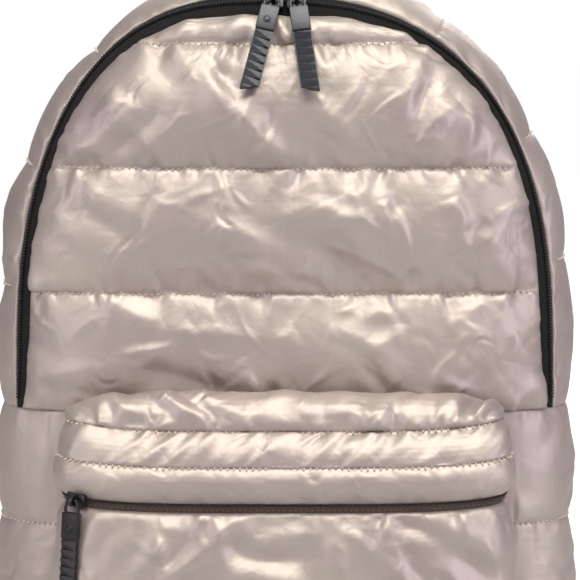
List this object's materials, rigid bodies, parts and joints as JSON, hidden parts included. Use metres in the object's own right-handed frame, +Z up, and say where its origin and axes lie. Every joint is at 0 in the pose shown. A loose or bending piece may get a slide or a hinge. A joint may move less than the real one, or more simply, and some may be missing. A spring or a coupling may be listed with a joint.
{
  "type": "quilted puffer backpack",
  "caption": "Padded quilted backpack with an arched zip opening, a puffed front pocket, hanging zip pulls, a haul loop and shoulder straps.",
  "frame": {"origin": "middle of the bottom panel's flat underside", "axes": "+X to the bag's right as seen from the front, +Y to the back that the straps are on, +Z up"},
  "size_m": [0.302, 0.232, 0.4456],
  "materials": {
    "pearl_fabric": "pearl satin coated nylon over padding",
    "zip_tape": "matt woven tape",
    "zip_coil": "satin nylon coil",
    "pocket_tape": "matt woven tape",
    "dark_metal": "gunmetal",
    "moulded_tab": "satin moulded",
    "webbing": "ribbed webbing",
    "lock_plastic": "satin"
  },
  "bodies": {
    "bag": {"front_panel": "pearl_fabric", "upper_gusset": "pearl_fabric", "lower_body": "pearl_fabric", "back_panel": "pearl_fabric", "bottom_panel": "pearl_fabric", "pocket_face": "pearl_fabric", "pocket_lip": "pearl_fabric", "pocket_band": "pearl_fabric", "pocket_top": "pearl_fabric", "strap_left": "pearl_fabric", "strap_right": "pearl_fabric", "main_zip_tape": "zip_tape", "main_zip_coil": "zip_coil", "pocket_zip_coil": "zip_coil", "pocket_zip_tape": "pocket_tape", "slider_left": "dark_metal", "slider_right": "dark_metal", "slider_pocket": "dark_metal", "haul_loop": "webbing", "webbing_left": "webbing", "webbing_right": "webbing", "ladder_lock_left": "lock_plastic", "ladder_lock_right": "lock_plastic"},
    "pull_left": {"pull_ring_left": "dark_metal", "pull_tab_left": "moulded_tab"},
    "pull_right": {"pull_ring_right": "dark_metal", "pull_tab_right": "moulded_tab"},
    "pull_pocket": {"pull_ring_pocket": "dark_metal", "pull_tab_pocket": "moulded_tab"}
  },
  "joints": [
    {"name": "pull_left_swing", "type": "hinge", "parent": "bag", "child": "pull_left", "pos_m": [-0.0056, -0.05888, 0.40233], "axis": [-1, 0, 0], "range_deg": [0, 160]},
    {"name": "pull_right_swing", "type": "hinge", "parent": "bag", "child": "pull_right", "pos_m": [0.00595, -0.05903, 0.40209], "axis": [-1, 0, 0], "range_deg": [0, 160]},
    {"name": "pull_pocket_swing", "type": "hinge", "parent": "bag", "child": "pull_pocket", "pos_m": [-0.10278, -0.11297, 0.1585], "axis": [-0.8861, 0.4622, 0.0349], "range_deg": [0, 150]}
  ]
}
